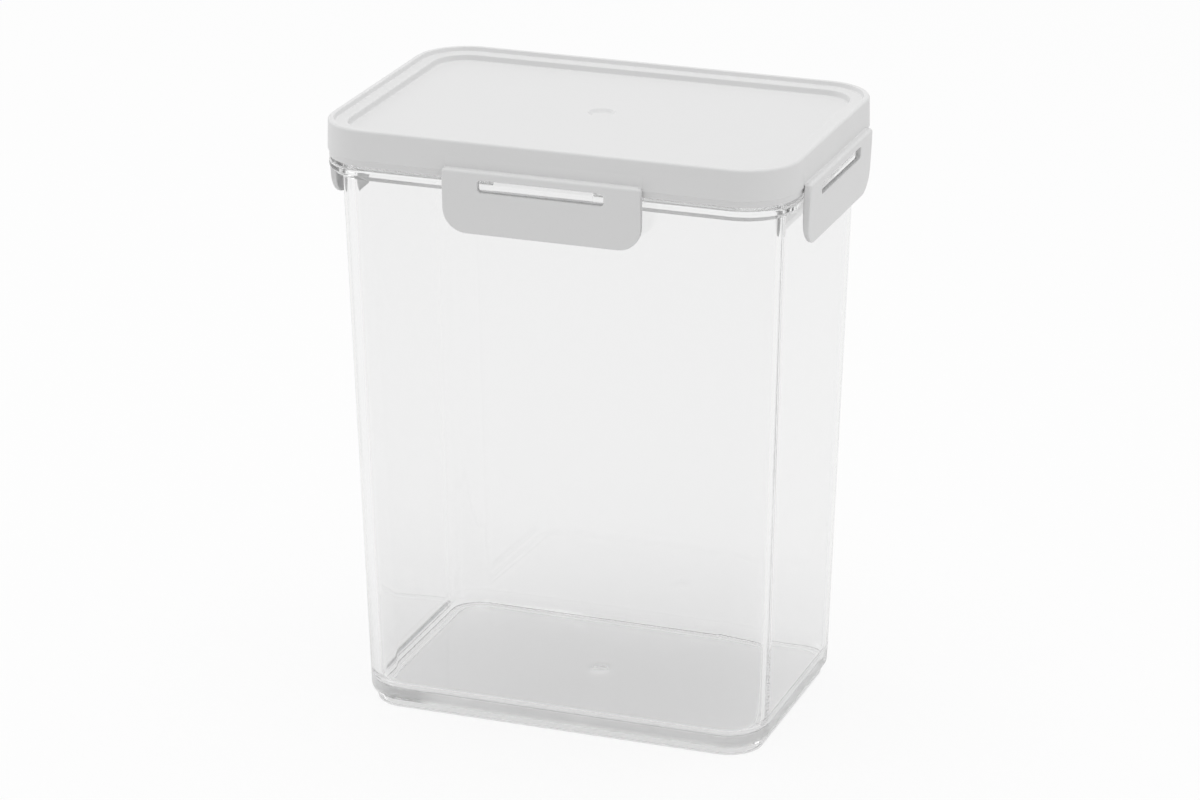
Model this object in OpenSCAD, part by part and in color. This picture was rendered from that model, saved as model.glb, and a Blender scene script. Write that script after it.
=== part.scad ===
// Clip-lid food canister: a clear drafted container, a one-piece lid with four
// snap latches on film hinges, and a silicone sealing ring in the lid's groove.
// The origin is the centre of the foot's underside, +Z is up, the front is -Y.

/* [Lid] */
// Width of the lid over its skirt, along X
lid_w = 121; // [119:0.5:124]
// Depth of the lid over its skirt, along Y
lid_d = 82; // [80.5:0.5:85]
// Radius of the lid's corners, seen from above
lid_r = 13.8; // [13.6:0.1:15]
// Height from the foot's underside to the lid's outer rim
total_h = 155; // [120:1:180]
// Height of the lid's skirt, from its bottom edge to the rim
skirt_h = 9.1; // [8.6:0.1:9.6]
// Thickness of the skirt and of the central panel
lid_t = 1.6; // [1.4:0.1:1.8]
// Depth of the stacking recess below the rim
recess_h = 2.7; // [2.4:0.1:3]

/* [Container] */
// Radius of the wall's corners just under the flange, about the lid's corner centres
wall_r = 10.1; // [9.8:0.1:10.4]
// Width of the container's wall just above the foot, along X
base_w = 106.2; // [105:0.1:108]
// Depth of the container's wall just above the foot, along Y
base_d = 68.4; // [67:0.1:70]
// Radius of the wall's corners just above the foot
base_r = 10.5; // [9:0.1:12]
// Wall thickness of the container
wall_t = 2.5; // [2.3:0.1:2.7]
// Thickness of the floor
floor_t = 2.4; // [2:0.1:3]
// Height of the foot that the body stands on
foot_h = 2.2; // [1.8:0.1:2.6]
// How far the foot stands in from the body's side
foot_in = 1.45; // [1.2:0.05:1.8]
// Thickness of the flange under the lid
flange_t = 2.7; // [2.3:0.1:3]

/* [Latches] */
// Width of each latch
latch_w = 50.8; // [44:0.2:52]
// Height of each latch below its film hinge
latch_h = 16.1; // [14:0.1:20]
// Thickness of each latch between its two end borders
latch_t = 1.5; // [1.4:0.05:1.6]
// Thickness of each latch at its end borders
border_t = 1.85; // [1.7:0.05:2]
// How far the top of the latch's outer face stands proud of the skirt
latch_proud = 2.05; // [2:0.05:2.4]
// How far each latch leans in towards the container, in degrees
latch_lean = 3; // [0:0.5:4]
// Length of the window in each latch
slot_w = 32.2; // [28:0.2:36]
// Height of the window in each latch
slot_h = 3.1; // [2.6:0.1:3.4]
// Length of each catch rib on the flange
rib_w = 26; // [20:0.2:27]

/* [Hidden] */
$fn = 64;

// Angles that turn a part built on the back face round to each side
FRONT = 180;
RIGHT = -90;
BACK = 0;
LEFT = 90;

// Corner-centre rectangles: half sizes between the corner radii's centres
lid_cx = lid_w / 2 - lid_r;
lid_cy = lid_d / 2 - lid_r;
base_cx = base_w / 2 - base_r;
base_cy = base_d / 2 - base_r;

// Levels of the lid
skirt_z = total_h - skirt_h;
lip_h = 1.5;
lip_in = 0.5;
panel_z = total_h - recess_h;
roof_z = panel_z - lid_t;
ledge_z = total_h - 1.1;
seat_z = roof_z - 1.3;
plug_z = skirt_z - 0.4;

// Levels of the container
flange_gap = 1.2;
flange_top = skirt_z - flange_gap;
flange_z = flange_top - flange_t;
rim_gap = 0.12;
seal_h = 2.08;
rim_z = roof_z - seal_h - rim_gap;
side_z = foot_h + 2.5;
recess_z = foot_h - 0.3;
floor_z = recess_z + floor_t;
floor_fillet = 4;

// Radii outside the base's corner-centre rectangle
foot_r = base_r - foot_in;
ring_r = foot_r - 2.4;

// Radii outside the lid's corner-centre rectangle
flange_r = lid_r - 0.2;
rim_r = wall_r - 0.2;
rim_t = 2.05;
mouth_r = wall_r - wall_t + 0.2;
plug_r = lid_r - 6.5;
plug_t = 1.4;
groove_r = lid_r - lid_t;
seat_r = lid_r - 2.2;
seal_play = 0.1;

// Film hinge: a thin level web from the ledge under the flare to the latch's
// rounded shoulder, which bends along the middle of its upper face
hinge_z = skirt_z + 2.45;
hinge_out = 0.9;
web_d = 0.4;
web_t = 0.4;
web_w = latch_w - 1.8;
web_z = hinge_z - web_t;
flare_top = hinge_z + 2.85;

// The latch's rounded shoulder, the notch behind it and its lower edge
shoulder_r = 0.7;
shoulder_z = hinge_z - shoulder_r;
notch_z = hinge_z - 0.75;
latch_z = hinge_z - latch_h;
lean_slope = tan(latch_lean);

// Points of an elliptical arc about [x, z], from angle a to angle b
function arc(x, z, rx, rz, a, b, steps = 6) =
    [for (i = [0 : steps]) [x + rx * cos(a + (b - a) * i / steps), z + rz * sin(a + (b - a) * i / steps)]];

// Sweeps a section round a rounded rectangle whose corner centres lie at
// [+-cx, +-cy]; the section's x is the distance outside that rectangle
module sweep_round(cx, cy) {
    for (k = [0 : 3]) {
        out = (k % 2 == 0) ? cx : cy;
        along = (k % 2 == 0) ? cy : cx;
        rotate(90 * k)
            translate([out, along, 0]) {
                rotate([90, 0, 0])
                    linear_extrude(height = 2 * along)
                        children();
                rotate_extrude(angle = 90)
                    children();
            }
    }
}

// Flat slab that closes the middle of a sweep, from z0 to z1
module middle(cx, cy, z0, z1) {
    translate([-cx, -cy, z0])
        cube([2 * cx, 2 * cy, z1 - z0]);
}

// Puts a part that is built facing +Y onto one side of the lid's skirt
module on_side(angle) {
    half = (angle == FRONT || angle == BACK) ? lid_d / 2 : lid_w / 2;
    rotate(angle)
        translate([0, half, 0])
            children();
}

// Rectangle with round corners, centred on x, standing on y = 0
module rounded_bar(w, h, r) {
    translate([-w / 2, r])
        square([w, h - 2 * r]);
    translate([-w / 2 + r, 0])
        square([w - 2 * r, h]);
    for (x = [-w / 2 + r, w / 2 - r], y = [r, h - r])
        translate([x, y])
            circle(r = r);
}

// Section of the base: foot ring and the rounded edge from the foot to the wall
module base_section() {
    polygon(concat(
        [[0, recess_z], [ring_r - 0.6, recess_z], [ring_r, recess_z - 0.6], [ring_r, 0.3], [ring_r + 0.3, 0]],
        arc(foot_r - 0.3, 0.3, 0.3, 0.3, -90, 0, 3),
        arc(foot_r, side_z, foot_in, side_z - foot_h, -90, 0),
        [[0, side_z]]
    ));
}

// Section of the flange, rounded top and bottom at its outer edge, with the
// upstanding rim on it; its inner end is cut away by the container's inside
module flange_section() {
    rim_in = rim_r - rim_t;
    polygon(concat(
        [[rim_in - 1, flange_z]],
        arc(flange_r - 0.3, flange_z + 0.3, 0.3, 0.3, -90, 0, 3),
        arc(flange_r - 0.5, flange_top - 0.5, 0.5, 0.5, 0, 90, 4),
        [[rim_r, flange_top]],
        arc(rim_r - 0.5, rim_z - 0.5, 0.5, 0.5, 0, 90, 4),
        arc(rim_in + 0.4, rim_z - 0.4, 0.4, 0.4, 90, 180, 4),
        [[rim_in, flange_top], [rim_in - 1, flange_top]]
    ));
}

// Thin slab with round corners, from which the drafted walls are drawn
module slab(cx, cy, r, z) {
    for (x = [-cx, cx], y = [-cy, cy])
        translate([x, y, z])
            cylinder(r = r, h = 0.01);
}

// Outside of the drafted wall as a solid block: its lower end lies inside the
// base and its upper end inside the flange
module wall_block() {
    hull() {
        slab(base_cx, base_cy, base_r - 0.05, side_z - 0.2);
        slab(lid_cx, lid_cy, wall_r, flange_z + 0.4);
    }
}

// Inside of the container: drafted, with a fillet all round the floor
module inside() {
    hull() {
        for (x = [-base_cx, base_cx], y = [-base_cy, base_cy])
            translate([x, y, floor_z + floor_fillet])
                rotate_extrude($fn = 48)
                    translate([base_r - wall_t - floor_fillet, 0])
                        circle(r = floor_fillet, $fn = 48);
        slab(lid_cx, lid_cy, mouth_r, rim_z + 1);
    }
}

// How far the latch's outer face stands proud of the skirt at a height z
function latch_out(z) = latch_proud - lean_slope * (shoulder_z - z);

// Catch rib: a low wedge on the flange's edge, behind the latch's window
module catch_rib() {
    rib_z = flange_z + 1.6;
    rib_top = skirt_z - 0.3;
    rib_out = latch_out(rib_z) - latch_t - 0.15;
    translate([-rib_w / 2, 0, 0])
        rotate([90, 0, 90])
            linear_extrude(height = rib_w)
                polygon([
                    [-1.6, rib_z], [rib_out, rib_z], [rib_out, rib_z + 1.2],
                    [rib_out - 0.8, rib_top], [-1.6, rib_top]
                ]);
}

module container() {
    gate_r = 4;
    gate_depth = 0.3;
    gate_ball = (gate_r * gate_r + gate_depth * gate_depth) / (2 * gate_depth);
    color([0.93, 0.94, 0.95, 0.35])
        difference() {
            union() {
                sweep_round(base_cx, base_cy)
                    base_section();
                middle(base_cx, base_cy, recess_z, side_z);
                wall_block();
                sweep_round(lid_cx, lid_cy)
                    flange_section();
                for (side = [FRONT, RIGHT, BACK, LEFT])
                    on_side(side)
                        catch_rib();
            }
            inside();
            // Shallow gate dimple in the middle of the underside
            translate([0, 0, recess_z + gate_depth - gate_ball])
                sphere(r = gate_ball, $fn = 96);
        }
}

// Section of the lid: stepped top, skirt with a set-back lip, groove for the
// seal and the container's rim, and the plug wall that enters the container
module lid_section() {
    rim_out = lid_r - 0.15;
    polygon(concat(
        [[0, roof_z], [plug_r - plug_t, roof_z], [plug_r - plug_t, plug_z + 0.3], [plug_r - plug_t + 0.3, plug_z]],
        [[plug_r - 0.6, plug_z], [plug_r, plug_z + 1], [plug_r, roof_z], [seat_r, roof_z]],
        [[seat_r, seat_z], [groove_r, seat_z - 0.6], [groove_r, skirt_z]],
        [[lid_r - lip_in, skirt_z], [lid_r - lip_in, skirt_z + lip_h - 0.3], [lid_r, skirt_z + lip_h]],
        arc(rim_out - 0.7, total_h - 0.7, 0.7, 0.7, 0, 90, 5),
        [[lid_r - 1.5, total_h], [lid_r - 1.8, total_h - 0.2], [lid_r - 2, ledge_z + 0.3]],
        [[lid_r - 2.3, ledge_z], [lid_r - 4.9, ledge_z], [lid_r - 5.2, ledge_z - 0.3]],
        [[lid_r - 5.4, panel_z + 0.4], [lid_r - 5.8, panel_z], [0, panel_z]]
    ));
}

// Flare on the skirt above each latch: it thickens slightly towards a level
// ledge, and the ledge carries the latch's film hinge
module hinge_flare() {
    flare_out = 0.3;
    cove_r = 0.3;
    translate([-latch_w / 2, 0, 0])
        rotate([90, 0, 90])
            linear_extrude(height = latch_w)
                polygon(concat(
                    [[-lid_t / 2, web_z], [hinge_out - web_d / 2, web_z], [hinge_out - web_d / 2, hinge_z]],
                    arc(flare_out + cove_r, hinge_z + cove_r, cove_r, cove_r, -90, -180, 4),
                    [[0, flare_top], [-lid_t / 2, flare_top]]
                ));
}

module lid() {
    gate_r = 3.25;
    gate_depth = 0.25;
    gate_ball = (gate_r * gate_r + gate_depth * gate_depth) / (2 * gate_depth);
    color([0.9, 0.9, 0.9])
        difference() {
            union() {
                sweep_round(lid_cx, lid_cy)
                    lid_section();
                middle(lid_cx, lid_cy, roof_z, panel_z);
                for (side = [FRONT, RIGHT, BACK, LEFT])
                    on_side(side)
                        hinge_flare();
            }
            // Gate dimple in the middle of the top panel
            translate([0, 0, panel_z - gate_depth + gate_ball])
                sphere(r = gate_ball, $fn = 96);
        }
}

// Sealing ring: a flat back in the lid's groove and a rounded bead that the
// container's rim presses on
module seal() {
    inner = plug_r + seal_play;
    outer = seat_r - seal_play;
    bead_z = roof_z - seal_h;
    color([0.86, 0.87, 0.88])
        sweep_round(lid_cx, lid_cy)
            polygon(concat(
                [[inner, roof_z]],
                arc(inner + 0.8, bead_z + 0.8, 0.8, 0.8, 180, 270, 4),
                arc(outer - 0.8, bead_z + 0.8, 0.8, 0.8, 270, 360, 4),
                [[outer, roof_z]]
            ));
}

// Section of a latch of thickness t: a notch behind the film hinge, a rounded
// shoulder, and a plate that leans in towards the container
module latch_section(t) {
    back = latch_out(flange_z) - t;
    polygon(concat(
        [[back, flange_z], [latch_out(notch_z) - t, notch_z]],
        [[hinge_out + web_d / 2, notch_z], [hinge_out + web_d / 2, hinge_z]],
        arc(latch_proud - shoulder_r, shoulder_z, shoulder_r, shoulder_r, 90, 0),
        [[latch_out(latch_z), latch_z], [back, latch_z]]
    ));
}

// Outline of a latch seen from outside, with round lower corners
module latch_outline() {
    corner_r = 6;
    translate([-latch_w / 2, latch_z + corner_r])
        square([latch_w, latch_h - corner_r]);
    translate([-latch_w / 2 + corner_r, latch_z])
        square([latch_w - 2 * corner_r, latch_h]);
    for (x = [-1, 1])
        translate([x * (latch_w / 2 - corner_r), latch_z + corner_r])
            circle(r = corner_r);
}

// One latch, facing +Y with the lid's skirt face at y = 0: a leaning plate with
// two thicker end borders and a window for the catch rib
module latch() {
    border_w = 2;
    slot_z = hinge_z - 5.25;
    color([0.9, 0.9, 0.9])
        difference() {
            intersection() {
                union() {
                    translate([-latch_w / 2, 0, 0])
                        rotate([90, 0, 90])
                            linear_extrude(height = latch_w)
                                latch_section(latch_t);
                    for (x = [-latch_w / 2, latch_w / 2 - border_w])
                        translate([x, 0, 0])
                            rotate([90, 0, 90])
                                linear_extrude(height = border_w)
                                    latch_section(border_t);
                }
                translate([0, latch_proud + 1, 0])
                    rotate([90, 0, 0])
                        linear_extrude(height = border_t + 4)
                            latch_outline();
            }
            translate([0, latch_proud + 1, slot_z])
                rotate([90, 0, 0])
                    linear_extrude(height = latch_t + 4)
                        rounded_bar(slot_w, slot_h, 0.9);
        }
}

// One film hinge, facing +Y: the thin web that bends when its latch swings
module film_hinge() {
    color([0.9, 0.9, 0.9])
        translate([-web_w / 2, hinge_out - web_d / 2, web_z])
            cube([web_w, web_d, web_t]);
}

module front_latch() {
    on_side(FRONT) latch();
}

module right_latch() {
    on_side(RIGHT) latch();
}

module back_latch() {
    on_side(BACK) latch();
}

module left_latch() {
    on_side(LEFT) latch();
}

module front_film_hinge() {
    on_side(FRONT) film_hinge();
}

module right_film_hinge() {
    on_side(RIGHT) film_hinge();
}

module back_film_hinge() {
    on_side(BACK) film_hinge();
}

module left_film_hinge() {
    on_side(LEFT) film_hinge();
}

container();
lid();
seal();
front_latch();
right_latch();
back_latch();
left_latch();
front_film_hinge();
right_film_hinge();
back_film_hinge();
left_film_hinge();
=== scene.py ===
import math

import bpy
import numpy as np
from mathutils import Matrix, Vector


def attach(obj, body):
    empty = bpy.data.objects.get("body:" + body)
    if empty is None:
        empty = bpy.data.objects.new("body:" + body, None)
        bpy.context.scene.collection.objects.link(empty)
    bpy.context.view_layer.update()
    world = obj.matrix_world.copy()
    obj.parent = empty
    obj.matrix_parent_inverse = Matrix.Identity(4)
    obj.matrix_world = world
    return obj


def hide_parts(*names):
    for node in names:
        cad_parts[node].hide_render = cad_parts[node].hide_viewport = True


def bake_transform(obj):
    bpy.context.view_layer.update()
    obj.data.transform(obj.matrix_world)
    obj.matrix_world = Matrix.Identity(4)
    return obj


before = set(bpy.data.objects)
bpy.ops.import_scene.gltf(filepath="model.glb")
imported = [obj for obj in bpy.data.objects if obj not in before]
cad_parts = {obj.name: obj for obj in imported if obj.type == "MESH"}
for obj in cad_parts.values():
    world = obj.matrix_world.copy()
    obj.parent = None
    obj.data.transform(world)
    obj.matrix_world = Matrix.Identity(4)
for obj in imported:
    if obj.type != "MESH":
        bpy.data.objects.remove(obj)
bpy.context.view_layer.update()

# ---------------------------------------------------------------- Camera
# It looks down on the canister from the front right through a long lens, so
# that the front, the right side and the lid all show with little perspective.

turn, tilt = math.radians(20), math.radians(20)
camera_distance = 1.1213
aim = Vector((-0.00023, -0.00009, 0.0775))
towards_camera = Vector(
    (
        math.sin(turn) * math.cos(tilt),
        -math.cos(turn) * math.cos(tilt),
        math.sin(tilt),
    )
)

camera = bpy.data.objects.new("camera", bpy.data.cameras.new("camera"))
bpy.context.collection.objects.link(camera)
camera.data.sensor_width = 36
camera.data.lens = 133.08
camera.location = aim + towards_camera * camera_distance
camera.rotation_mode = "QUATERNION"
camera.rotation_quaternion = (-towards_camera).to_track_quat("-Z", "Y")
bpy.context.scene.camera = camera

# ------------------------------------------------------------- Container
# One injection moulding in clear copolyester: a drafted body on a foot ring,
# a flange and an upstanding rim that the lid covers, and a catch rib on each
# side of the flange. Only the underside is matt. Its sizes are in mm.

MM = 0.001
base_rect = (42.6, 23.7)
lid_rect = (46.7, 27.2)
FRONT, RIGHT, BACK, LEFT = -90, 0, 90, 180


def about(rect, *corners):
    """Corners of a section, each a half width, a height and an edge radius, that are carried round
    the same rectangle of corner centres."""
    return [(*corner, rect) for corner in corners]


def rounded_section(corners):
    """Points, outward normals and rectangles of a moulded section. A corner is its half width, its
    height, its edge radius and its rectangle of corner centres. A corner without a turn is spread
    over twice its radius, so that two sections can have the same count of points."""
    steps = 6
    spots = [np.array(corner[:2], float) for corner in corners]
    points, normals, rects = [], [], []
    for i, (half_width, height, radius, rect) in enumerate(corners):
        here = spots[i]
        before = here - spots[i - 1] if i > 0 else spots[1] - here
        after = spots[i + 1] - here if i < len(spots) - 1 else before
        before, after = before / np.linalg.norm(before), after / np.linalg.norm(after)
        bend = math.atan2(before[0] * after[1] - before[1] * after[0], before @ after)
        ends = i in (0, len(spots) - 1)
        for k in range(1 if ends else steps + 1):
            part = k / steps
            if ends or abs(bend) < 1e-4:
                place = here + before * (0 if ends else radius * (2 * part - 1))
                heading = before
            else:
                side = np.array([-before[1], before[0]]) * math.copysign(1, bend)
                start = here - before * radius * math.tan(abs(bend) / 2)
                a = abs(bend) * part
                place = start + radius * (before * math.sin(a) + side * (1 - math.cos(a)))
                heading = before * math.cos(a) + side * math.sin(a)
            points.append(place - np.array([rect[0], 0]))
            normals.append(np.array([heading[1], -heading[0]]))
            rects.append(rect)
    return np.array(points), np.array(normals), np.array(rects)


def round_the_rectangle(feature_half=None, feature_edge=0.4):
    """Stations counter-clockwise round a rounded rectangle: (corner signs, shift along the side,
    outward direction, side direction, share of the side's feature, change of that share)."""
    corner_steps, edge_steps = 40, 6
    marks = []
    if feature_half:
        for k in range(edge_steps + 1):
            t = k / edge_steps
            share = 0.5 - 0.5 * math.cos(math.pi * t)
            change = 0.5 * math.pi * math.sin(math.pi * t) / feature_edge
            marks.append((feature_half - feature_edge * t, share, change))
    stations = []
    for facing in (FRONT, RIGHT, BACK, LEFT):
        a = math.radians(facing)
        out = np.array([math.cos(a), math.sin(a)])
        along = np.array([-out[1], out[0]])
        for place, share, change in marks:
            stations.append((out, -place, out, along, share, change))
        for place, share, change in reversed(marks):
            stations.append((out, place, out, along, share, -change))
        corner = out + along
        for k in range(corner_steps + 1):
            b = a + math.radians(90) * k / corner_steps
            out_b = np.array([math.cos(b), math.sin(b)])
            stations.append((corner, 0, out_b, np.array([-out_b[1], out_b[0]]), 0, 0))
    return stations


def sweep(stations, plain, featured=None):
    """Rings of points and of normals: the section carried round the stations, with the featured
    section where a station says so."""
    points, normals, rects = plain
    more, more_normals = (featured[0], featured[1]) if featured else (points, normals)
    spots = np.zeros((len(points), len(stations), 3))
    directions = np.zeros_like(spots)
    for i, (sign, shift, out, along, share, change) in enumerate(stations):
        section = points + share * (more - points)
        normal = normals + share * (more_normals - normals)
        normal /= np.linalg.norm(normal, axis=1)[:, None]
        lean = (normal * (more - points)).sum(1) * change
        spots[:, i, :2] = sign * rects + shift * along + section[:, :1] * out
        spots[:, i, 2] = section[:, 1]
        directions[:, i, :2] = normal[:, :1] * out - lean[:, None] * along
        directions[:, i, 2] = normal[:, 1]
    directions /= np.linalg.norm(directions, axis=2)[:, :, None]
    return spots, directions


def gate_mark(ring, facing, radius, depth, wall, centre=(0, 0)):
    """Rings that close a level face round the small sunken mark where the plastic was injected, and
    the point in its middle."""
    around = np.unwrap(np.arctan2(ring[:, 1], ring[:, 0]))
    angles = 2 * math.pi * np.arange(len(ring)) / len(ring)
    angles += (around - angles).mean()
    level = ring[0, 2]
    spots, directions = [], []
    for share in (0, 0.2, 0.35, 0.5, 0.65, 0.8, 1):
        r = radius - wall * share
        dip = depth * (0.5 - 0.5 * math.cos(math.pi * share))
        slope = depth * 0.5 * math.pi / wall * math.sin(math.pi * share)
        spot = (
            centre[0] + r * np.cos(angles),
            centre[1] + r * np.sin(angles),
            np.full(len(ring), level - facing * dip),
        )
        normal = (
            -slope * np.cos(angles),
            -slope * np.sin(angles),
            np.full(len(ring), facing),
        )
        spots.append(np.stack(spot, 1))
        normal = np.stack(normal, 1)
        directions.append(normal / np.linalg.norm(normal, axis=1)[:, None])
    return np.array(spots), np.array(directions), (*centre, level - facing * depth)


def make_mesh(name, vertices, faces, normals):
    """A mesh object from points in mm, with its exact normals."""
    mesh = bpy.data.meshes.new(name)
    mesh.from_pydata([tuple(v) for v in np.asarray(vertices) * MM], [], faces)
    mesh.validate()
    mesh.shade_smooth()
    mesh.normals_split_custom_set_from_vertices([tuple(n) for n in normals])
    made = bpy.data.objects.new(name, mesh)
    bpy.context.collection.objects.link(made)
    return made


def skin(name, spots, directions, caps=(None, None), loop=False):
    """A mesh with four-sided faces between its rings. A cap closes an end with a fan. It is the
    point in the end's middle, and 1 if it faces up or -1 if it faces down."""
    rings, around = spots.shape[:2]
    vertices = spots.reshape(-1, 3).tolist()
    normals = directions.reshape(-1, 3).tolist()
    faces = []
    for j in range(rings if loop else rings - 1):
        for i in range(around):
            n = (i + 1) % around
            up = (j + 1) % rings
            faces.append((j * around + i, j * around + n, up * around + n, up * around + i))
    for end, cap in zip((0, rings - 1), caps):
        if cap is None:
            continue
        centre, facing = cap
        vertices.append(centre)
        normals.append((0, 0, facing))
        middle = len(vertices) - 1
        for i in range(around):
            here, following = end * around + i, end * around + (i + 1) % around
            faces.append((middle, following, here) if end == 0 else (middle, here, following))
    return make_mesh(name, vertices, faces, normals)


def moulding(name, swept, first_mark, last_mark):
    """A closed mesh from swept rings, with an injection mark in the level face at each end. A mark
    is its radius, its depth, the width of its sloping wall and, off the middle, its centre."""
    spots, directions = swept
    first = gate_mark(spots[0], -1, *first_mark)
    last = gate_mark(spots[-1], 1, *last_mark)
    return skin(
        name,
        np.concatenate([first[0][::-1], spots, last[0]]),
        np.concatenate([first[1][::-1], directions, last[1]]),
        caps=((first[2], -1), (last[2], 1)),
    )


wall_out = 57.0
underside_high, foot_high = 1.9, 2.2
flange_low, flange_high, rim_high = 142.0, 144.7, 148.5
rib_half = 13.0
base = about(
    base_rect,
    (47.2, underside_high, 0),
    (49.2, underside_high, 0.35),
    (49.35, 0, 0.3),
    (51.65, 0, 0.3),
    (51.65, foot_high, 0.2),
    (52.5, foot_high, 0.9),
    (53.25, 3.5, 2.2),
)
flange_under = about(lid_rect, (wall_out, flange_low, 0.35), (59.1, flange_low, 0.3))
flange_edge = about(
    lid_rect,
    (60.3, 143.3, 0.3),
    (60.3, 143.65, 0.05),
    (60.3, 143.8, 0.08),
    (60.3, flange_high, 0.6),
)
catch_rib = about(
    lid_rect,
    (60.3, 143.3, 0.2),
    (60.62, 143.5, 0.12),
    (60.62, 144.8, 0.15),
    (60.0, 145.5, 0.1),
)
rim = about(
    lid_rect,
    (56.6, flange_high, 0.3),
    (56.6, rim_high, 0.5),
    (54.5, rim_high, 0.4),
)
inside = about(base_rect, (50.75, 4.3, 4), (45.2, 4.3, 0))
container = moulding(
    "container_moulding",
    sweep(
        round_the_rectangle(rib_half),
        rounded_section(base + flange_under + flange_edge + rim + inside),
        rounded_section(base + flange_under + catch_rib + rim + inside),
    ),
    first_mark=(4.2, 0.2, 4.0),
    last_mark=(4.4, 0.25, 4.2),
)
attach(container, "container")
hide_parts("container")


class Wire:
    """A socket in a node tree, so that shader maths can be written as sums and products."""

    def __init__(self, tree, socket=None):
        self.tree, self.socket = tree, socket

    def __getitem__(self, output):
        return Wire(self.tree, self.socket.node.outputs[output])

    def add(self, kind, settings, sockets, output=0):
        """Adds a node: its settings are set first, then a value or a wire goes to each socket."""
        made = self.tree.nodes.new(kind)
        for name, value in settings.items():
            setattr(made, name, value)
        for name, value in sockets.items():
            if isinstance(value, Wire):
                self.tree.links.new(value.socket, made.inputs[name])
            else:
                made.inputs[name].default_value = value
        return Wire(self.tree, made.outputs[output] if made.outputs else None)

    def value(self, operation, first, second):
        """A Math node on two numbers or wires."""
        return self.add("ShaderNodeMath", {"operation": operation}, {0: first, 1: second})

    def __add__(self, other):
        return self.value("ADD", self, other)

    def __mul__(self, other):
        return self.value("MULTIPLY", self, other)

    def __rsub__(self, other):
        return self.value("SUBTRACT", other, self)

    __radd__, __rmul__ = __add__, __mul__


def start_material(name):
    """An empty material, and the wire that adds nodes to it."""
    made = bpy.data.materials.new(name)
    made.use_nodes = True
    made.node_tree.nodes.clear()
    return made, Wire(made.node_tree)


def finish_material(piece, made):
    """Gives a piece this material and no other."""
    piece.data.materials.clear()
    piece.data.materials.append(made)


clear_plastic, w = start_material("clear_plastic")
place = w.add("ShaderNodeTexCoord", {}, {}, "Object")
haze = w.add("ShaderNodeTexNoise", {}, {"Vector": place, "Scale": 60.0, "Detail": 2.0})
height = w.add("ShaderNodeSeparateXYZ", {}, {"Vector": place}, "Z")
underside = w.add(
    "ShaderNodeMath",
    {"operation": "COMPARE"},
    {0: height, 1: underside_high * MM, 2: 0.05 * MM},
)
clear = w.add(
    "ShaderNodeBsdfPrincipled",
    {},
    {
        "Base Color": (0.966, 0.966, 0.966, 1),
        "Roughness": haze * 0.02 + underside * 0.3,
        "IOR": 1.52,
        "Transmission Weight": 1.0,
    },
)
# Light on its way to other things passes straight through, a little dimmed.
to_a_lamp = w.add("ShaderNodeLightPath", {}, {}, "Is Shadow Ray")
light_rays = w.value("MAXIMUM", to_a_lamp, to_a_lamp["Is Diffuse Ray"])
thin = w.add("ShaderNodeBsdfTransparent", {}, {"Color": (0.88, 0.88, 0.88, 1)})
body = w.add("ShaderNodeMixShader", {}, {0: light_rays, 1: clear, 2: thin})
w.add("ShaderNodeOutputMaterial", {}, {"Surface": body})
finish_material(container, clear_plastic)

# ------------------------------------------------------------------- Lid
# One white polypropylene moulding with a satin face: a rim, a ledge and a
# sunken panel that the next canister's foot stands in, a skirt with a set-back
# lip, a plug wall and a groove underneath, and a flare over each latch.

skirt = 60.5
lid_high, lip_low = 155.0, 145.6
roof_low, panel_high = 150.7, 152.3
ledge_low, ledge_high = 147.95, 148.35
latch_half = 25.4
under_lid = about(
    lid_rect,
    (48.0, roof_low, 0),
    (52.6, roof_low, 0.5),
    (52.65, 145.5, 0.3),
    (53.5, 145.5, 0.3),
    (54.0, 146.4, 0.8),
    (54.0, roof_low, 0.3),
    (58.3, roof_low, 0.2),
    (58.3, 149.4, 0.3),
    (58.9, 148.8, 0.3),
    (58.9, lip_low, 0.25),
    (skirt - 0.42, lip_low, 0.25),
    (skirt - 0.36, 147.2, 0.12),
    (skirt + 0.06, 147.35, 0.15),
    (skirt + 0.04, ledge_low, 0.05),
)
plain_skirt = about(
    lid_rect,
    (skirt + 0.037, 148.1, 0.05),
    (skirt + 0.034, 148.25, 0.05),
    (skirt + 0.03, 148.5, 0.08),
    (skirt - 0.03, 151.2, 0.5),
)
flare = about(
    lid_rect,
    (skirt + 0.7, ledge_low, 0.05),
    (skirt + 0.7, ledge_high, 0.02),
    (skirt + 0.3, ledge_high, 0.3),
    (skirt - 0.03, 151.2, 1.5),
)
top_of_lid = about(
    lid_rect,
    (skirt - 0.13, lid_high, 0.65),
    (58.95, lid_high, 0.25),
    (58.55, 153.9, 0.35),
    (55.5, 153.9, 0.4),
    (55.1, panel_high, 0.5),
    (49.0, panel_high, 0),
)
lid = moulding(
    "lid_moulding",
    sweep(
        round_the_rectangle(latch_half, 0.3),
        rounded_section(under_lid + plain_skirt + top_of_lid),
        rounded_section(under_lid + flare + top_of_lid),
    ),
    first_mark=(3.6, 0.2, 1.2),
    last_mark=(3.6, 0.8, 1.2, (-0.8, 2.8)),
)
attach(lid, "lid")
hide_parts("lid")

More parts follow.
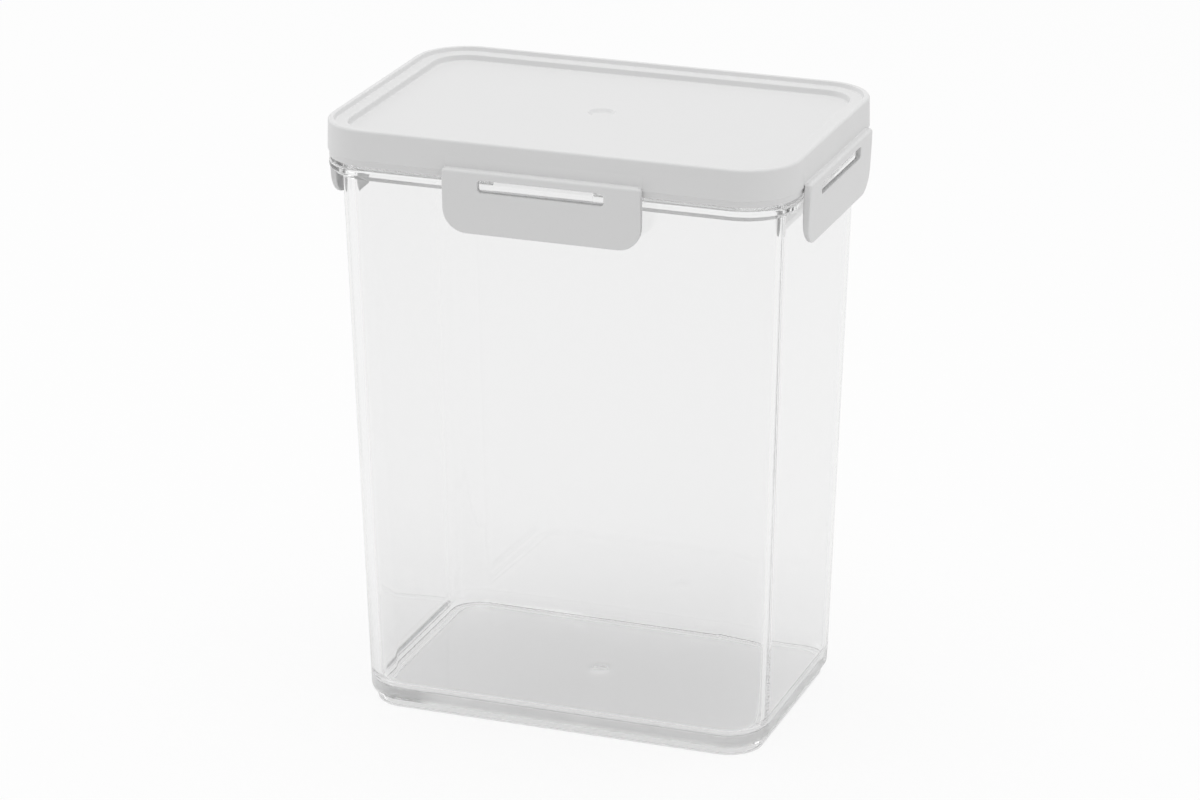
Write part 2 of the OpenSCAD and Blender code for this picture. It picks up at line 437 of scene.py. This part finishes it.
white_plastic, w = start_material("white_plastic")
place = w.add("ShaderNodeTexCoord", {}, {}, "Object")
cloud = w.add("ShaderNodeTexNoise", {}, {"Vector": place, "Scale": 45.0, "Detail": 3.0})
grain = w.add("ShaderNodeTexNoise", {}, {"Vector": place, "Scale": 5200.0, "Detail": 1.0})
tint = w.add(
    "ShaderNodeMix",
    {"data_type": "RGBA"},
    {0: cloud, 6: (0.785, 0.785, 0.785, 1), 7: (0.8, 0.8, 0.8, 1)},
    2,
)
fine = w.add("ShaderNodeBump", {}, {"Height": grain, "Strength": 0.05, "Distance": 0.0001})
satin = w.add(
    "ShaderNodeBsdfPrincipled",
    {},
    {
        "Base Color": tint,
        "Roughness": 0.42 + cloud * 0.08,
        "IOR": 1.49,
        "Normal": fine,
        "Specular IOR Level": 0.35,
    },
)
w.add("ShaderNodeOutputMaterial", {}, {"Surface": satin})
finish_material(lid, white_plastic)

# ---------------------------------------------------------- Sealing ring
# A soft silicone ring pressed into the groove under the lid. Its rounded bead
# stops just above the container's rim.

seal_low, seal_high = 148.62, 150.68
seal_section = about(
    lid_rect,
    (54.1, seal_high, 0.05),
    (54.1, seal_low, 0.8),
    (58.2, seal_low, 0.8),
    (58.2, seal_high, 0.05),
    (54.1, seal_high, 0.05),
)
seal = skin("sealing_ring", *sweep(round_the_rectangle(), rounded_section(seal_section)))
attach(seal, "lid")
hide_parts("seal")

silicone, w = start_material("silicone")
place = w.add("ShaderNodeTexCoord", {}, {}, "Object")
dust = w.add("ShaderNodeTexNoise", {}, {"Vector": place, "Scale": 300.0, "Detail": 3.0})
soft = w.add(
    "ShaderNodeBsdfPrincipled",
    {},
    {"Base Color": (0.78, 0.79, 0.8, 1), "Roughness": 0.5 + dust * 0.15},
)
w.add("ShaderNodeOutputMaterial", {}, {"Surface": soft})
finish_material(seal, silicone)

# --------------------------------------------------------------- Latches
# Four snap latches, moulded with the lid: each is a plate with round lower
# corners that leans in towards the container, with a rounded shoulder under
# its film hinge, thicker ends, and a window for the catch rib.

latch_face, shoulder = 2.05, 147.65
latch_low, latch_corner = 132.25, 6
window_half, window_low, window_high, window_corner = 16.1, 143.1, 146.2, 0.9
latch_lean = math.radians(3)


def turned_to(facing):
    """The matrix that turns rows of points from facing +Y to facing another side."""
    return np.array(Matrix.Rotation(math.radians(facing - 90), 3, "Z")).T


def rounded_outline(half, low, high, low_radius, high_radius):
    """Points and outward directions, counter-clockwise round a plate's outline as seen from
    outside."""
    corner_steps, side_steps = 10, 12
    corners = [
        (half - low_radius, low + low_radius, low_radius, -90),
        (half - high_radius, high - high_radius, high_radius, 0),
        (high_radius - half, high - high_radius, high_radius, 90),
        (low_radius - half, low + low_radius, low_radius, 180),
    ]
    points, outs = [], []
    for c, (x, z, radius, start) in enumerate(corners):
        for k in range(corner_steps + 1):
            a = math.radians(start + 90 * k / corner_steps)
            out = np.array([math.cos(a), math.sin(a)])
            points.append(np.array([x, z]) + out * radius)
            outs.append(out)
        x, z, radius, _ = corners[(c + 1) % 4]
        last = points[-1]
        step = (np.array([x, z]) + out * radius - last) / side_steps
        for k in range(1, side_steps):
            points.append(last + step * k)
            outs.append(out)
    return np.array(points), np.array(outs)


def latch_plate(name, facing, half_size):
    """A plate skinned in rings: out of the window, over the face, round the edge, over the back."""
    edge, back_edge, shoulder_edge = 0.35, 0.22, 0.7
    thick, thicker_ends, notch_depth = 1.5, 0.35, 0.95
    quarter = math.pi / 2
    plate = rounded_outline(latch_half, latch_low, ledge_high, latch_corner, 0.75)
    window = rounded_outline(window_half, window_low, window_high, window_corner, window_corner)
    pad = rounded_outline(latch_half, latch_low, ledge_high, latch_corner, 2.4)
    level, outs = plate[0][:, 1], plate[1]
    along_top, ends = outs[:, 1] > 0.95, outs[:, 0] ** 2
    rings, directions = [], []

    def back(outline, share=1.0):
        """Depth of the back, which stands upright below the flange while the face leans."""
        below = np.maximum(0, flange_low - outline[0][:, 1])
        return thick + thicker_ends * ends * share - below * math.tan(latch_lean)

    def ring(outline, inset, depth, slope, side=1):
        """A ring set in from an outline and behind the face. Its normal slopes from the side to the
        front. With a side of -1, for the window, it is set out instead and faces the middle."""
        points, outs = outline
        inset, depth, slope = (
            np.broadcast_to(v, len(points))[:, None] for v in (inset, depth, slope)
        )
        flat = points - side * outs * inset
        rings.append(np.hstack([flat[:, :1], -depth, flat[:, 1:]]))
        normal = side * outs * np.cos(slope)
        directions.append(np.hstack([normal[:, :1], np.sin(slope), normal[:, 1:]]))

    turns = [quarter * k / 5 for k in range(6)]
    for a in turns:
        inset, rise = back_edge * (1 - math.sin(a)), back_edge * (1 - math.cos(a))
        ring(window, inset, thick - rise, a - quarter, -1)
    for a in turns:
        ring(window, edge * (1 - math.cos(a)), edge * (1 - math.sin(a)), a, -1)
    # The front edge's rounding grows into the shoulder's between these two heights.
    edge_ends, shoulder_starts = 144.4, 147.4
    growth = np.clip((level - edge_ends) / (shoulder_starts - edge_ends), 0, 1)
    radius = edge + (shoulder_edge - edge) * growth
    for k in range(11):
        a = quarter * k / 10
        ring(plate, radius * (1 - math.sin(a)), radius * (1 - math.cos(a)), quarter - a)
    full = back(plate)
    # Along the top, each ring follows the notch behind the film hinge instead of
    # the rounded edge: its drop, its share of the depth, and its slope.
    notch = ((0, 0, 0), (0.04, 0, -1), (0.7, 0, -1), (0.75, 0.1, 0), (0.75, 0.9, 0), (0.8, 1, -1))
    for a, (drop, share, slope) in zip(turns, notch):
        notch_back = notch_depth + (full - notch_depth) * share
        ring(
            plate,
            np.where(along_top, drop, edge * (1 - math.cos(a))),
            np.where(along_top, notch_back, full - edge * (1 - math.sin(a))),
            np.where(along_top, slope * quarter, -a),
        )
    ring(pad, 1.7, back(pad), -quarter)
    ring(pad, 2.1, back(pad, 0), -quarter)

    leaning = np.array(Matrix.Rotation(-latch_lean, 3, "X")).T
    pivot = np.array([0, 0, shoulder])
    face = np.array([0, half_size + latch_face, 0])
    spots = ((np.array(rings) - pivot) @ leaning + pivot + face) @ turned_to(facing)
    return skin(name, spots, np.array(directions) @ leaning @ turned_to(facing), loop=True)


sides = (("front", FRONT, 41.0), ("right", RIGHT, 60.5), ("back", BACK, 41.0), ("left", LEFT, 60.5))
for side, facing, half_size in sides:
    plate = latch_plate(side + "_latch_plate", facing, half_size)
    finish_material(plate, white_plastic)
    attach(plate, side + "_latch")
    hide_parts(side + "_latch")

# ----------------------------------------------------------- Film hinges
# The thin webs between the lid's ledge and each latch's shoulder: the same
# shot of plastic, 0.4 mm thick, that the latch swings on. Each is drawn as a
# flat strip that stays where it is.

web_half = 24.5
web_near, web_far = 0.68, 1.12
rows, columns = 9, 25


def strip(one_line, other_line):
    """Four-sided faces between two lines of vertex numbers."""
    corners = (one_line[:-1], one_line[1:], other_line[1:], other_line[:-1])
    return np.stack(corners, 1).tolist()


upper = np.arange(rows * columns).reshape(rows, columns)
lower = upper + upper.size
web_faces = []
for r in range(rows - 1):
    web_faces += strip(upper[r], upper[r + 1]) + strip(lower[r + 1], lower[r])
web_faces += strip(upper[:, 0], lower[:, 0]) + strip(lower[:, -1], upper[:, -1])
web_faces += strip(lower[0], upper[0]) + strip(upper[-1], lower[-1])

for side, facing, half_size in sides:
    points, normals = [], []
    for height, up in ((ledge_high, 1), (ledge_low, -1)):
        for out in np.linspace(web_near, web_far, rows):
            for across in np.linspace(-web_half, web_half, columns):
                points.append((across, half_size + out, height))
                normals.append((0, 0, up))
    web = make_mesh(side + "_web", np.array(points) @ turned_to(facing), web_faces, normals)
    finish_material(web, white_plastic)
    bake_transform(web)
    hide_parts(side + "_film_hinge")

# ---------------------------------------------------------------- Studio
# A white floor that keeps a soft shadow, a pale surround, one broad lamp
# overhead and a softer one at each side.


def background_rays(w):
    """Two switches: one for the camera's own rays, and one for rays that a glossy or clear face
    sent on and that have met nothing matt."""
    from_camera = w.add("ShaderNodeLightPath", {}, {}, "Is Camera Ray")
    sent_on = w.value("MAXIMUM", from_camera["Is Glossy Ray"], from_camera["Is Transmission Ray"])
    nothing_matt = w.value("LESS_THAN", from_camera["Diffuse Depth"], 0.5)
    return from_camera, sent_on * nothing_matt


bpy.ops.mesh.primitive_plane_add(size=12, location=(0, 0, 0))
floor = bpy.context.object
floor.name = "floor"
paper, w = start_material("paper")
from_camera, sent_on = background_rays(w)
matt = w.add("ShaderNodeBsdfDiffuse", {}, {"Color": (0.94, 0.94, 0.94, 1)})
white = w.add("ShaderNodeEmission", {}, {"Color": (1, 1, 1, 1), "Strength": 1.0})
white_directly, white_through = 0.88, 0.44
share = from_camera * white_directly + sent_on * white_through
seen = w.add("ShaderNodeMixShader", {}, {0: share, 1: matt, 2: white})
w.add("ShaderNodeOutputMaterial", {}, {"Surface": seen})
finish_material(floor, paper)

surround = bpy.data.worlds.new("surround")
bpy.context.scene.world = surround
surround.use_nodes = True
surround.node_tree.nodes.clear()
w = Wire(surround.node_tree)
from_camera, sent_on = background_rays(w)
seen_white = w.value("MAXIMUM", from_camera, sent_on)
light_level = 0.6
strength = light_level + seen_white * (1 - light_level)
sky = w.add("ShaderNodeBackground", {}, {"Color": (1, 1, 1, 1), "Strength": strength})
w.add("ShaderNodeOutputWorld", {}, {"Surface": sky})


def soft_lamp(name, place, size, watts):
    """A square lamp that points at the middle of the canister."""
    data = bpy.data.lights.new(name, "AREA")
    data.shape, data.size, data.energy = "SQUARE", size, watts
    made = bpy.data.objects.new(name, data)
    bpy.context.collection.objects.link(made)
    made.location = place
    made.rotation_mode = "QUATERNION"
    towards_canister = Vector((0, 0, 0.08)) - Vector(place)
    made.rotation_quaternion = towards_canister.to_track_quat("-Z", "Y")


soft_lamp("overhead", (0, 0, 1.6), 1.2, 8.6)
soft_lamp("right_side", (1.5, 0.2, 0.5), 0.8, 1.7)
soft_lamp("left_side", (-1.5, 0.2, 0.5), 0.8, 3.0)

scene = bpy.context.scene
scene.view_settings.view_transform = "Standard"
scene.cycles.max_bounces = 96
scene.cycles.diffuse_bounces = 8
scene.cycles.glossy_bounces = 96
scene.cycles.transmission_bounces = 32
